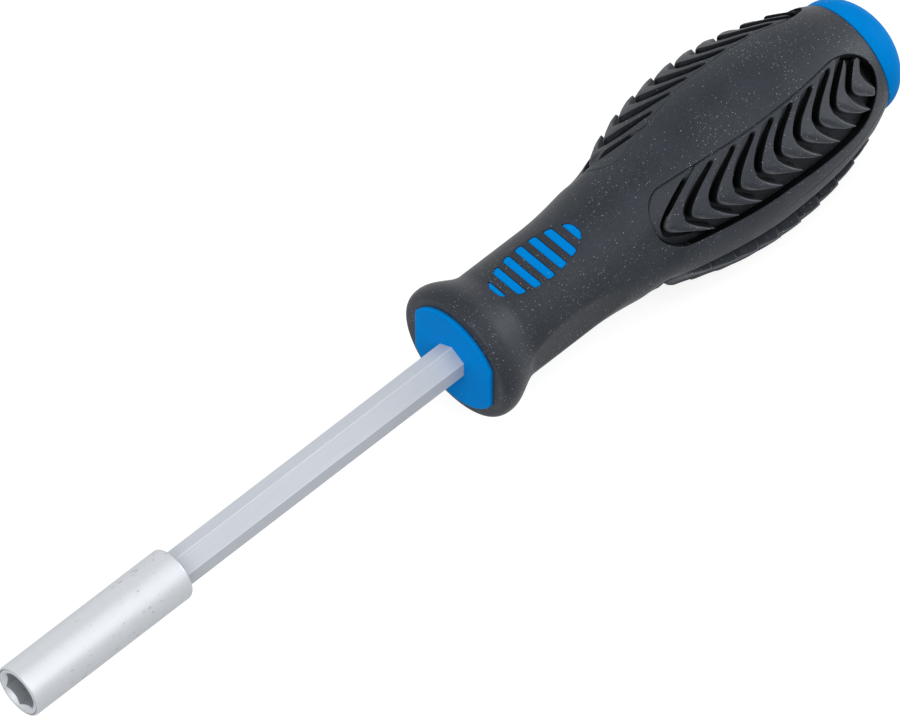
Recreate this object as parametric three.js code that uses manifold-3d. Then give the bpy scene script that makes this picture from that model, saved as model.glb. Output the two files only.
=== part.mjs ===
// Bit driver handle: a hexagon blade with a magnetic bit sleeve at its tip, and a handle of a hard core
// with a soft grip moulded round it. Millimetres, +Z up. The blade lies along X with its tip at -X, and
// the origin is on the axis, on the face of the magnet that a bit stands on.
import * as THREE from 'three';
import { mergeVertices } from 'three/addons/utils/BufferGeometryUtils.js';
import Module from 'manifold-3d';

const wasm = await Module();
wasm.setup();

// Gaps between pieces
const PRESS_GAP = 0.15;
const MOULD_GAP = 0.3;
const BIT_GAP = 0.05;

// Sleeve, socket and magnet
const BIT_FLATS = 6.35;
const SOCKET_DEPTH = 12;
const MOUTH_CHAMFER = 0.25;
const SLEEVE_DIAMETER = 10;
const SLEEVE_LENGTH = 36;
const SLEEVE_FRONT_EDGE = 0.35;
const SLEEVE_REAR_ROUND = 1.1;
const MAGNET_DIAMETER = 5;
const MAGNET_LENGTH = 4;
const MAGNET_PROUD = 0.3;
const MAGNET_EDGE = 0.25;

// Blade, with the winged tang that the core is moulded round
const SHAFT_FLATS = 6;
const BLADE_REACH = 101;
const TANG_LENGTH = 70;
const WING_SPAN = 11;
const WING_THICKNESS = 2.6;
const WING_LENGTH = 9;
const WING_SETBACK = 5;

// Collar of the core, in front of the grip
const COLLAR_RADIUS = 10.4;
const COLLAR_FLATS = 18.7;
const COLLAR_PROUD = 1.2;
const COLLAR_EDGE = 0.4;

// Grip, from its front face to its tail
const FLANGE_RADIUS = 13.1;
const FLANGE_CREST = 2.2;
const FLANGE_LIP = 0.9;
const FLANGE_RUN = 7.3;
const NECK_RADIUS = 10.5;
const NECK_LENGTH = 23.5;
const BELLY_RADIUS = 16.4;
const BELLY_RISE = 41.2;
const BELLY_FALL = 28.6;
const BELLY_FALL_POWER = 2.8;
const TAIL_RADIUS = 11.26;
const GRIP_WALL = 3.6;

// Scooped flats round the neck, and the bars of the core that show in the upper and lower one
const SCOOP_DEPTH = 0.5;
const SCOOP_STATION = 18;
const SCOOP_HALF_LENGTH = 11.5;
const SCOOP_HALF_WIDTH = 5.6;
const BAR_COUNT = 7;
const BAR_PITCH = 3.1;
const BAR_WIDTH = 1.65;
const BAR_SINK = 0.1;
const BAR_FIELD_HALF_LENGTH = 10.2;
const BAR_FIELD_HALF_WIDTH = 4.6;

// Leaf-shaped rib panels. Shares are parts of the panel's width, counted from its upper edge.
const TAIL_BAND = 2.2;
const PANEL_LENGTH = 52.2;
const PANEL_SEAT = 2.2;
const PANEL_FRONT_ROUND = 5;
const PANEL_REAR_ROUND = 9;
const TOP_BAND_HALF = 7.6;
const TOP_BAND_POWER = 1.4;
const SIDE_BAND_HALF = 4;
const SIDE_BAND_TAPER = 2;
const RIB_COUNT = 10;
const RIB_PITCH = 4.9;
const RIB_FIRST = 1.7;
const RIB_WIDTH = 3.3;
const RIB_TIP_WIDTH = 0.35;
const RIB_TIP_POWER = 1.6;
const RIB_SWEEP_ABOVE = 7.8;
const RIB_SWEEP_BELOW = 13;
const RIB_VERTEX_SHARE = 0.5;
const RIB_BEND_SHARE = 0.12;
const RIB_MARGIN = 1.2;
const RIB_RISE = 1.6;
const RISE_SHARE = 0.56;
const RISE_LEAD = 2;
const RISE_FRONT_RUN = 14;
const RISE_REAR_RUN = 18;
const SLIT_WIDTH = 1.1;
const SLIT_SHARE = 0.08;
const SLIT_SHALLOW = 0.3;
const FLOOR_SINK = 0.9;

// End cap
const CAP_HEIGHT = 8.3;
const CAP_LIP = 0.6;
const STEM_DIAMETER = 9;
const STEM_LENGTH = 10;

// Fineness of the curved surfaces
const TURN_STEPS = 40;
const SLIM_STEPS = 28;
const GRIP_RINGS = 28;
const CORE_RINGS = 13;
const DOME_STEPS = 6;
const EDGE_STEPS = 3;
const LEAF_RINGS = 15;
const LEAF_STRIPS = 3;
const GROOVE_STRIPS = 7;

// A cutter runs this far past the surface that it cuts
const OVERRUN = 1;

// Stations along X that the sizes give
const MOUTH = -SOCKET_DEPTH;
const SLEEVE_REAR = MOUTH + SLEEVE_LENGTH;
const SHAFT_FRONT = MAGNET_LENGTH + PRESS_GAP;
const COLLAR_FACE = MOUTH + BLADE_REACH;
const GRIP_FACE = COLLAR_FACE + COLLAR_PROUD;
const NECK_END = GRIP_FACE + NECK_LENGTH;
const BELLY_CREST = NECK_END + BELLY_RISE;
const TAIL = BELLY_CREST + BELLY_FALL;
const SCOOP_CENTRE = GRIP_FACE + SCOOP_STATION;
const PANEL_REAR = TAIL - TAIL_BAND;
const PANEL_FRONT = PANEL_REAR - PANEL_LENGTH;
const TANG_END = COLLAR_FACE + TANG_LENGTH;

// Smooth step from 0 to 1 with level ends
const ease = (t) => THREE.MathUtils.smoothstep(t, 0, 1);

// A closed geometry as a solid, and a solid as a geometry
function solid(geometry) {
  const bare = geometry.clone();
  bare.deleteAttribute('normal');
  bare.deleteAttribute('uv');
  const merged = mergeVertices(bare, 1e-4);
  const vertProperties = new Float32Array(merged.attributes.position.array);
  const triVerts = new Uint32Array(merged.index.array);
  return new wasm.Manifold(new wasm.Mesh({ numProp: 3, vertProperties, triVerts }));
}

function geometryOf(body) {
  const { vertProperties, triVerts } = body.getMesh();
  const geometry = new THREE.BufferGeometry();
  geometry.setAttribute('position', new THREE.BufferAttribute(vertProperties, 3));
  geometry.setIndex(new THREE.BufferAttribute(triVerts, 1));
  geometry.computeVertexNormals();
  return geometry;
}

// A body turned round the X axis from [station, radius] pairs that run from front to rear
function turned(profile, steps) {
  const points = profile.map(([station, radius]) => new THREE.Vector2(radius, station));
  return new THREE.LatheGeometry(points, steps).rotateZ(-Math.PI / 2);
}

// A round or conical plug along X between two stations
function plug(start, end, frontRadius, rearRadius = frontRadius, sides = SLIM_STEPS) {
  const geometry = new THREE.CylinderGeometry(rearRadius, frontRadius, end - start, sides);
  return geometry.rotateZ(-Math.PI / 2).translate((start + end) / 2, 0, 0);
}

// A hexagon bar along X with corners up and down
function hexBar(start, end, flats) {
  const corner = flats / Math.sqrt(3);
  return plug(start, end, corner, corner, 6);
}

function block(start, end, width, height) {
  const geometry = new THREE.BoxGeometry(end - start, width, height);
  return geometry.translate((start + end) / 2, 0, 0);
}

// [station, radius] pairs along a quarter of an ellipse that ends level with the axis
function roundOver(start, depth, outerRadius, drop, steps) {
  return Array.from({ length: steps + 1 }, (_, k) => {
    const turn = (Math.PI / 2) * (k / steps);
    return [start + depth * Math.sin(turn), outerRadius - drop * (1 - Math.cos(turn))];
  });
}

// A closed shell between an outer and an inner sheet of points, with rows along X and columns round it.
// sheet(i, j) gives the outer and the inner point. The columns of a ring close on themselves.
function shell(rows, columns, isRing, sheet) {
  const positions = [];
  const index = [];
  for (let i = 0; i < rows; i += 1) {
    for (let j = 0; j < columns; j += 1) {
      const [outer, inner] = sheet(i, j);
      positions.push(...outer, ...inner);
    }
  }
  const at = (i, j, side) => 2 * (i * columns + (j % columns)) + side;
  const quad = (a, b, c, d) => index.push(a, b, c, a, c, d);
  const last = isRing ? columns : columns - 1;
  for (let j = 0; j < last; j += 1) {
    for (let i = 0; i < rows - 1; i += 1) {
      quad(at(i, j, 0), at(i + 1, j, 0), at(i + 1, j + 1, 0), at(i, j + 1, 0));
      quad(at(i, j, 1), at(i, j + 1, 1), at(i + 1, j + 1, 1), at(i + 1, j, 1));
    }
    quad(at(0, j, 0), at(0, j + 1, 0), at(0, j + 1, 1), at(0, j, 1));
    quad(at(rows - 1, j, 0), at(rows - 1, j, 1), at(rows - 1, j + 1, 1), at(rows - 1, j + 1, 0));
  }
  if (!isRing) {
    for (let i = 0; i < rows - 1; i += 1) {
      quad(at(i, 0, 0), at(i, 0, 1), at(i + 1, 0, 1), at(i + 1, 0, 0));
      quad(at(i, last, 0), at(i + 1, last, 0), at(i + 1, last, 1), at(i, last, 1));
    }
  }
  const geometry = new THREE.BufferGeometry();
  geometry.setAttribute('position', new THREE.Float32BufferAttribute(positions, 3));
  geometry.setIndex(index);
  return geometry;
}

// Point at a station, at an angle from straight up towards +Y
function pointAt(station, radius, angle) {
  return [station, radius * Math.sin(angle), radius * Math.cos(angle)];
}

// Radius of the handle without its flange: neck, S-curve up to the belly, round fall to the tail
function bodyRadius(station) {
  if (station < BELLY_CREST) {
    return NECK_RADIUS + (BELLY_RADIUS - NECK_RADIUS) * ease((station - NECK_END) / BELLY_RISE);
  }
  const fall = ((station - BELLY_CREST) / BELLY_FALL) ** BELLY_FALL_POWER;
  return BELLY_RADIUS - (BELLY_RADIUS - TAIL_RADIUS) * fall;
}

// Radius of the grip's skin: the body, the flange with its rounded lip, and four scooped flats
function gripRadius(station, angle) {
  const back = Math.min((station - GRIP_FACE) / FLANGE_CREST, 1);
  const lip = FLANGE_LIP * (1 - Math.sqrt(1 - (1 - back) ** 2));
  const run = ease((station - GRIP_FACE - FLANGE_CREST) / FLANGE_RUN);
  const round = bodyRadius(station) + (FLANGE_RADIUS - NECK_RADIUS) * (1 - run) - lip;
  const quarter = Math.PI / 2;
  const across = round * (angle - quarter * Math.round(angle / quarter));
  const along = station - SCOOP_CENTRE;
  const hollow = 1 - (along / SCOOP_HALF_LENGTH) ** 2 - (across / SCOOP_HALF_WIDTH) ** 2;
  return round - SCOOP_DEPTH * Math.max(0, hollow);
}

const coreRadius = (station) => bodyRadius(station) - GRIP_WALL;

// Stations of the grip's rings, which crowd round the lip of the flange
function gripStations() {
  const lip = Array.from({ length: EDGE_STEPS }, (_, k) => {
    return GRIP_FACE + FLANGE_CREST * (1 - Math.cos((Math.PI / 2) * (k / EDGE_STEPS)));
  });
  const start = GRIP_FACE + FLANGE_CREST;
  const step = (TAIL - start) / (GRIP_RINGS - 1);
  return [...lip, ...Array.from({ length: GRIP_RINGS }, (_, k) => start + k * step)];
}

// All that the grip's skin encloses, sunk by a depth, apart from a narrow way along the axis
function gripShape(sink) {
  const stations = gripStations();
  return shell(stations.length, TURN_STEPS, true, (i, j) => {
    const angle = (2 * Math.PI * j) / TURN_STEPS;
    const outer = pointAt(stations[i], gripRadius(stations[i], angle) - sink, angle);
    return [outer, pointAt(stations[i], PRESS_GAP, angle)];
  });
}

// The core's body, which follows the grip from inside the collar to the tail, grown by a gap
function coreBody(gap, overrun) {
  const start = COLLAR_FACE + COLLAR_EDGE;
  const rings = Array.from({ length: CORE_RINGS }, (_, k) => {
    const station = start + ((TAIL - start) * k) / (CORE_RINGS - 1);
    return [station, coreRadius(station) + gap];
  });
  const end = overrun > 0 ? [[TAIL + overrun, coreRadius(TAIL) + gap]] : [];
  return turned([[start, 0], ...rings, ...end, [TAIL + overrun, 0]], SLIM_STEPS);
}

// One bar seen from above: a strip across the neck with its ends on the oval of the bar field
function barShape(place, gap) {
  const offset = place * BAR_PITCH;
  const reach = (along) => {
    const share = Math.min(Math.abs(offset + along) / BAR_FIELD_HALF_LENGTH, 1);
    return BAR_FIELD_HALF_WIDTH * Math.sqrt(1 - share ** 2) + gap;
  };
  const edge = [-BAR_WIDTH / 2, 0, BAR_WIDTH / 2].map((along) => {
    return new THREE.Vector2(SCOOP_CENTRE + offset + along + Math.sign(along) * gap, reach(along));
  });
  const opposite = edge.map((point) => new THREE.Vector2(point.x, -point.y)).reverse();
  return new THREE.Shape([...edge, ...opposite]);
}

// All bars of the upper or the lower flat, as prisms from the axis out past the skin
function barPrisms(isUpper, gap) {
  const prisms = Array.from({ length: BAR_COUNT }, (_, k) => {
    const shape = barShape(k - (BAR_COUNT - 1) / 2, gap);
    const prism = new THREE.ExtrudeGeometry(shape, { depth: FLANGE_RADIUS, bevelEnabled: false });
    return solid(isUpper ? prism : prism.rotateX(Math.PI));
  });
  return prisms.reduce((all, prism) => all.add(prism));
}

// Angles of a panel's two long edges, from straight up
function panelEdges(station) {
  const radius = bodyRadius(station);
  const swell = (radius / BELLY_RADIUS) ** TOP_BAND_POWER;
  const taper = SIDE_BAND_TAPER * Math.max(0, (station - BELLY_CREST) / BELLY_FALL);
  return [Math.asin((TOP_BAND_HALF / BELLY_RADIUS) * swell), Math.acos((SIDE_BAND_HALF - taper) / radius)];
}

// Leaf-shaped prism between two surfaces over a panel, with each side of its outline moved out by its
// own amount. The ends are quarter ellipses, and the stations crowd there.
function leaf(move, outerRadius, innerRadius) {
  const start = PANEL_FRONT - move.front;
  const end = PANEL_REAR + move.rear;
  return shell(LEAF_RINGS, LEAF_STRIPS + 1, false, (i, j) => {
    const station = start + ((end - start) * (1 - Math.cos((Math.PI * i) / (LEAF_RINGS - 1)))) / 2;
    const [upper, lower] = panelEdges(station);
    const left = upper - move.upper / bodyRadius(station);
    const right = lower + move.lower / bodyRadius(station);
    const inside = Math.min((station - start) / PANEL_FRONT_ROUND, (end - station) / PANEL_REAR_ROUND, 1);
    const span = (right - left) * Math.max(Math.sqrt(1 - (1 - inside) ** 2), 1 / TURN_STEPS);
    const angle = (left + right) / 2 + (j / LEAF_STRIPS - 0.5) * span;
    const share = (angle - upper) / (lower - upper);
    const outer = pointAt(station, outerRadius(station, share), angle);
    return [outer, pointAt(station, innerRadius(station, share), angle)];
  });
}

// Surface that the tops of the ribs lie on: flush at the upper edge and proud towards the side
function ribRadius(station, share) {
  const front = ease((station - PANEL_FRONT + RISE_LEAD) / RISE_FRONT_RUN);
  const rear = ease((PANEL_REAR + RISE_LEAD - station) / RISE_REAR_RUN);
  return bodyRadius(station) + RIB_RISE * ease(share / RISE_SHARE) * front * rear;
}

const seatRadius = (station) => bodyRadius(station) - PANEL_SEAT;
const floorRadius = (station) => bodyRadius(station) - FLOOR_SINK;
const clearRadius = (station, share) => ribRadius(station, share) + OVERRUN;

// How far a rib is swept back from its vertex: a hyperbola with a rounded vertex
function ribSweep(share) {
  const isAbove = share < RIB_VERTEX_SHARE;
  const reach = isAbove ? RIB_VERTEX_SHARE - SLIT_SHARE : 1 - RIB_VERTEX_SHARE;
  const sweep = isAbove ? RIB_SWEEP_ABOVE : RIB_SWEEP_BELOW;
  const bend = (distance) => Math.hypot(1, distance / RIB_BEND_SHARE) - 1;
  return (sweep * bend(share - RIB_VERTEX_SHARE)) / bend(reach);
}

// Width of a rib along X: a crescent that runs to a point below and leaves only a slit above
function ribWidth(share) {
  if (share < RIB_VERTEX_SHARE) {
    const rise = (RIB_VERTEX_SHARE - share) / (RIB_VERTEX_SHARE - SLIT_SHARE);
    return THREE.MathUtils.lerp(RIB_WIDTH, RIB_PITCH - SLIT_WIDTH, rise);
  }
  const drop = Math.min((share - RIB_VERTEX_SHARE) / (1 - RIB_VERTEX_SHARE), 1);
  return RIB_TIP_WIDTH + (RIB_WIDTH - RIB_TIP_WIDTH) * (1 - drop ** RIB_TIP_POWER);
}

// The groove in front of a rib, from its closed slit near the upper edge out past the lower edge. The
// one after the last rib is the open pocket at the rear.
function groove(place) {
  const vertex = PANEL_FRONT + RIB_FIRST + place * RIB_PITCH;
  const isPocket = place === RIB_COUNT;
  const first = isPocket ? -SLIT_SHARE : SLIT_SHARE;
  const last = 1 + SLIT_SHARE;
  return shell(2, GROOVE_STRIPS + 1, false, (i, j) => {
    const share = first + ((last - first) * j) / GROOVE_STRIPS;
    const rear = isPocket ? PANEL_LENGTH : 0;
    const station = vertex + ribSweep(share) + (i === 0 ? ribWidth(share) - RIB_PITCH : rear);
    const held = Math.min(station, TAIL);
    const [upper, lower] = panelEdges(held);
    const angle = upper + share * (lower - upper);
    const depth = isPocket ? 1 : ease(SLIT_SHALLOW + share / RIB_VERTEX_SHARE);
    const bottom = THREE.MathUtils.lerp(ribRadius(held, share), floorRadius(held), depth);
    const outer = pointAt(station, clearRadius(held, share), angle);
    return [outer, pointAt(station, bottom, angle)];
  });
}

// A copy of a geometry on the left (-Y) or the lower (-Z) side, with its faces still pointing out
function onSide(geometry, sideY, sideZ) {
  const copy = geometry.clone().scale(1, sideY, sideZ);
  if (sideY * sideZ < 0) {
    const order = copy.index.array;
    for (let k = 0; k < order.length; k += 3) {
      [order[k], order[k + 1]] = [order[k + 1], order[k]];
    }
  }
  return copy;
}

// Steel sleeve: countersunk hexagon socket in front, magnet bore, and round bore for the blade behind
function bitSleeve() {
  const radius = SLEEVE_DIAMETER / 2;
  const flats = BIT_FLATS + 2 * BIT_GAP;
  const rim = flats / Math.sqrt(3) + MOUTH_CHAMFER;
  const profile = [
    [MOUTH, 0],
    [MOUTH, radius - SLEEVE_FRONT_EDGE],
    [MOUTH + SLEEVE_FRONT_EDGE, radius],
    ...roundOver(SLEEVE_REAR - SLEEVE_REAR_ROUND, SLEEVE_REAR_ROUND, radius, SLEEVE_REAR_ROUND, EDGE_STEPS),
    [SLEEVE_REAR, 0],
  ];
  const countersink = plug(MOUTH - OVERRUN, MOUTH + rim / 2, rim + OVERRUN, rim / 2);
  const magnetBore = plug(0, SHAFT_FRONT, MAGNET_DIAMETER / 2 + PRESS_GAP);
  const bladeBore = plug(MAGNET_LENGTH, SLEEVE_REAR + OVERRUN, SHAFT_FLATS / Math.sqrt(3) + PRESS_GAP);
  return solid(turned(profile, SLIM_STEPS))
    .subtract(solid(hexBar(MOUTH - OVERRUN, MAGNET_PROUD, flats)))
    .subtract(solid(countersink))
    .subtract(solid(magnetBore))
    .subtract(solid(bladeBore));
}

function socketMagnet() {
  const radius = MAGNET_DIAMETER / 2;
  const profile = [
    [0, 0],
    [0, radius - MAGNET_EDGE],
    [MAGNET_EDGE, radius],
    [MAGNET_LENGTH, radius],
    [MAGNET_LENGTH, 0],
  ];
  return solid(turned(profile, SLIM_STEPS));
}

// Blade and tang, grown by a gap where it is the hollow that the core leaves for it
function shaft(start, gap) {
  const wingEnd = TANG_END - WING_SETBACK;
  const wings = block(wingEnd - WING_LENGTH - gap, wingEnd + gap, WING_SPAN + 2 * gap, WING_THICKNESS + 2 * gap);
  return solid(hexBar(start, TANG_END + gap, SHAFT_FLATS + 2 * gap)).add(solid(wings));
}

// Hard core: collar with two flats in front, a body that follows the grip, and the bars in the neck
function handleCore() {
  const collarRear = GRIP_FACE - PRESS_GAP;
  const disc = [
    [COLLAR_FACE, 0],
    ...roundOver(-COLLAR_EDGE, COLLAR_EDGE, COLLAR_RADIUS, COLLAR_EDGE, EDGE_STEPS)
      .map(([back, radius]) => [COLLAR_FACE - back, radius])
      .reverse(),
    [collarRear, COLLAR_RADIUS],
    [collarRear, 0],
  ];
  const collar = solid(turned(disc, TURN_STEPS))
    .intersect(solid(block(COLLAR_FACE - OVERRUN, GRIP_FACE, COLLAR_FLATS, 2 * COLLAR_RADIUS + OVERRUN)));
  const bars = barPrisms(true, 0).add(barPrisms(false, 0)).intersect(solid(gripShape(BAR_SINK)));
  const stemBore = plug(TAIL - STEM_LENGTH - PRESS_GAP, TAIL + OVERRUN, STEM_DIAMETER / 2 + PRESS_GAP);
  return solid(coreBody(0, 0))
    .add(collar)
    .add(bars)
    .subtract(shaft(COLLAR_FACE - OVERRUN, PRESS_GAP))
    .subtract(solid(stemBore));
}

const PANEL_SIDES = [
  { name: 'upper_right', sideY: 1, sideZ: 1 },
  { name: 'upper_left', sideY: -1, sideZ: 1 },
  { name: 'lower_right', sideY: 1, sideZ: -1 },
  { name: 'lower_left', sideY: -1, sideZ: -1 },
];

const evenly = (amount) => ({ upper: amount, lower: amount, front: amount, rear: amount });

// Soft grip, with slots for the bars and a pocket for each panel
function gripBody() {
  const pocket = leaf(evenly(MOULD_GAP), clearRadius, (station) => seatRadius(station) - MOULD_GAP);
  const slots = barPrisms(true, MOULD_GAP).add(barPrisms(false, MOULD_GAP));
  const grip = solid(gripShape(0)).subtract(solid(coreBody(MOULD_GAP, OVERRUN))).subtract(slots);
  return PANEL_SIDES.reduce((rest, { sideY, sideZ }) => {
    return rest.subtract(solid(onSide(pocket, sideY, sideZ)));
  }, grip);
}

// One rib panel: a leaf with grooves cut between its ribs, and a moat where the ribs end free
function ribPanel() {
  const kept = { upper: OVERRUN, lower: -RIB_MARGIN, front: OVERRUN, rear: -RIB_MARGIN };
  const moat = solid(leaf(evenly(OVERRUN), clearRadius, floorRadius))
    .subtract(solid(leaf(kept, (station, share) => clearRadius(station, share) + OVERRUN, seatRadius)));
  const places = Array.from({ length: RIB_COUNT + 1 }, (_, k) => k);
  const plate = solid(leaf(evenly(0), ribRadius, seatRadius)).subtract(moat);
  return places.reduce((rest, place) => rest.subtract(solid(groove(place))), plate);
}

// Domed cap with a short lip on the grip's tail and a stem in the core
function endCap() {
  const seat = TAIL + PRESS_GAP;
  const dome = roundOver(seat + CAP_LIP, CAP_HEIGHT - CAP_LIP - PRESS_GAP, TAIL_RADIUS, TAIL_RADIUS, DOME_STEPS);
  const profile = [
    [TAIL - STEM_LENGTH, 0],
    [TAIL - STEM_LENGTH, STEM_DIAMETER / 2],
    [seat, STEM_DIAMETER / 2],
    [seat, TAIL_RADIUS],
    ...dome.slice(0, -1),
    [TAIL + CAP_HEIGHT, 0],
  ];
  return solid(turned(profile, TURN_STEPS));
}

const STEEL = { color: 0xc8cbcd, roughness: 0.34, metalness: 0.9 };
const MAGNET = { color: 0x8b8e92, roughness: 0.3, metalness: 0.9 };
const BLUE = { color: 0x0378c6, roughness: 0.38, metalness: 0 };
const SOFT_BLACK = { color: 0x2b2c2f, roughness: 0.72, metalness: 0 };
const RIB_BLACK = { color: 0x28292c, roughness: 0.66, metalness: 0 };

const tool = new THREE.Group();

function place(name, geometry, finish) {
  const mesh = new THREE.Mesh(geometry, new THREE.MeshStandardMaterial(finish));
  mesh.name = name;
  tool.add(mesh);
}

place('bit_sleeve', geometryOf(bitSleeve()), STEEL);
place('socket_magnet', geometryOf(socketMagnet()), MAGNET);
place('hex_shaft', geometryOf(shaft(SHAFT_FRONT, 0)), STEEL);
place('handle_core', geometryOf(handleCore()), BLUE);
place('grip_body', geometryOf(gripBody()), SOFT_BLACK);
const panel = geometryOf(ribPanel());
for (const { name, sideY, sideZ } of PANEL_SIDES) {
  place(`rib_panel_${name}`, onSide(panel, sideY, sideZ), RIB_BLACK);
}
place('end_cap', geometryOf(endCap()), BLUE);

export default tool;
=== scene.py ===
import math
from types import SimpleNamespace

import bmesh
import bpy
import numpy as np
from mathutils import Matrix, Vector


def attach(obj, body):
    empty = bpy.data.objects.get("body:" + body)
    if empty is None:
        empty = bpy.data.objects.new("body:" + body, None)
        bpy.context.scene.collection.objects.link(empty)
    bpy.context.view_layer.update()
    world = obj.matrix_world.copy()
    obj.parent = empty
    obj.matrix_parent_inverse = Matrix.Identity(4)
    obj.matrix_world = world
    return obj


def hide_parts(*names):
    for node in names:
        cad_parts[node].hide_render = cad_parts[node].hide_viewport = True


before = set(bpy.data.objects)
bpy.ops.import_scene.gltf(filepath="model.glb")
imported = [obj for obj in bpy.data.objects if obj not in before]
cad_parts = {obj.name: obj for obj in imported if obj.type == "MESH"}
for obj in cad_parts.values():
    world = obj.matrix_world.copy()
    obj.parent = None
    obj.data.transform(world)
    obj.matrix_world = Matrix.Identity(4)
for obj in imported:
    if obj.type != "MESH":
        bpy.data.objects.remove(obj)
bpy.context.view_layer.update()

# Lengths are millimetres along the tool's own axes; MM turns them into metres when a mesh is made.
MM = 0.001
QUARTER = math.pi / 2

# Sleeve, magnet and blade
MOUTH = -12.0
SLEEVE_REAR = 24.0
SLEEVE_RADIUS = 5.0
SLEEVE_FRONT_EDGE = 0.35
SLEEVE_REAR_ROUND = 0.8
SLEEVE_BORE_BREAK = 0.3
SOCKET_FLATS = 6.45
COUNTERSINK_RADIUS = 4.05
COUNTERSINK_SLOPE = 0.8
RING_LINE = 4.54
RING_LINE_HALF = 0.09
RING_LINE_DEPTH = 0.22
MAGNET_RADIUS = 2.5
MAGNET_PROUD = 0.3
MAGNET_LENGTH = 4.0
MAGNET_EDGE = 0.25
BLADE_FRONT = 4.15
BLADE_FLATS = 6.0
BLADE_CORNER = 0.22
BLADE_FIT = 0.06
BLADE_BREAK = 0.3
SQUARE_STEP = 0.02
TANG_END = 159.0
WING_FRONT = 145.0
WING_REAR = 154.0
WING_REACH = 5.5
WING_HALF = 1.3

# Collar, grip and cap
COLLAR_FACE = 89.0
COLLAR_RADIUS = 10.4
COLLAR_FLATS = 18.7
COLLAR_EDGE = 0.45
CORE_FRONT_RADIUS = 8.6
CORE_FIT = 0.3
GRIP_FACE = 89.8
FLANGE_RADIUS = 13.1
FLANGE_CREST = 2.2
FLANGE_LIP = 1.5
FLANGE_LIP_POWER = 2.4
FLANGE_RUN = 7.6
NECK_RADIUS = 10.5
NECK_END = 113.7
BELLY_RADIUS = 16.398
BELLY_RISE = 41.2
BELLY_CREST = 154.9
BELLY_FALL = 28.6
BELLY_FALL_POWER = 2.8
TAIL = 183.5
TAIL_RADIUS = 11.26
TAIL_EDGE = 0.3
GRIP_WALL = 3.6
PARTING_DEPTH = 0.09
PARTING_WIDTH = 0.16
PARTING_START = 148.0
PARTING_RUN = 16.0
NUB_HEIGHT = 0.16
NUB_STATION = 0.3
NUB_LENGTH = 0.45
NUB_SPREAD = 0.0006
CAP_GAP = 0.12
CAP_LIP = 0.6
CAP_EDGE = 0.2
CAP_END = 191.8
STEM_RADIUS = 4.5
STEM_LENGTH = 10.0
STEM_EDGE = 0.3
STEM_FIT = 0.1

# Flats of the neck and the blue bars that come through the top and bottom ones
FLAT_CENTRE = 108.7
FLAT_DEPTH = 0.85
FLAT_HALF_LENGTH = 12.0
FLAT_SOFTNESS = 0.15
BAR_OFFSETS = 3.1 * np.arange(-3, 4)
BAR_HALF_WIDTHS = (0.5, 0.8, 0.8, 0.8, 0.8, 0.8, 0.66)
BAR_ROUND = 0.45
BAR_FIELD_HALF_LENGTH = 10.2
BAR_FIELD_HALF_WIDTH = 4.45
BAR_DEPTH = 1.8
BAR_LIFT = 0.03
BAR_EDGE_DROP = 0.12
BAR_EDGE_RUN = 0.22
SLOT_GROWTH = 0.1
SLOT_DEPTH = 2.0
SLOT_LIFT = 1.0

# Leaf-shaped rib panels
PANEL_FRONT = 129.1
PANEL_REAR = 181.3
PANEL_FRONT_ROUND = 5.0
PANEL_REAR_ROUND = 9.0
PANEL_BASE = 2.2
PANEL_EDGE = 0.16
POCKET_LIP = 0.24
POCKET_FIT = 0.04
POCKET_DEPTH = 2.5
TOP_BAND_HALF = 7.6
TOP_BAND_POWER = 1.4
SIDE_BAND_HALF = 3.8
SIDE_BAND_TAPER = 2.0
RIB_COUNT = 10
RIB_PITCH = 4.86
FIRST_VERTEX = 130.8
FIRST_GAP = 0.85
RIB_WIDTH = 3.4
RIB_RISE = 1.62
TIP_FALL = 0.35
RIB_TILT = 0.4
EDGE_ROLL = 0.15
EDGE_DROP = 0.07
NOSE_ROLL = 1.5
NOSE_DROP = 1.1
FIRST_NOSE_DROP = 1.5
RIB_FOOT = 0.1
RISE_SHARE = 0.56
RISE_START = 124.0
RISE_FRONT_RUN = 22.0
RISE_END = 182.0
RISE_REAR_RUN = 26.5
GROOVE_END = 0.085
FACET_SHARE = 0.6
FLOOR_SINK = 1.35
FLOOR_SINK_REAR = 0.35
DIP_DEPTH = 1.0
DIP_STATION = 130.0
DIP_LENGTH = 3.2
DIP_ANGLE = math.radians(62.0)
DIP_SPREAD = math.radians(13.0)

# Rib lines: pairs of stations and values, and the run of the two arms from the vertex
VERTEX_SHARES = ((131.0, 145.0, 155.0, 162.0, 176.0), (0.58, 0.52, 0.451, 0.431, 0.455))
TIP_REACHES = ((134.0, 154.0, 174.0), (4.2, 4.7, 6.0))
ARM_SWEEPS = ((140.0, 155.0), (4.5, 4.85))
ARM_TRAILS = ((140.0, 155.0), (7.8, 7.4))
ARM_BEND = 2.2
TRAIL_POWER = 1.9
TIP_SLOPE = 3.0
ARM_TAPER = 0.36
ARM_SQUARE_TAPER = 0.08
ARM_TAPER_START = 3.4
GROOVE_GAP = 1.25
GROOVE_TAPER = 0.07
FACET_DROP = 0.75
NOSE_START = 0.08
FIRST_NOSE_START = 0.24

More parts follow.
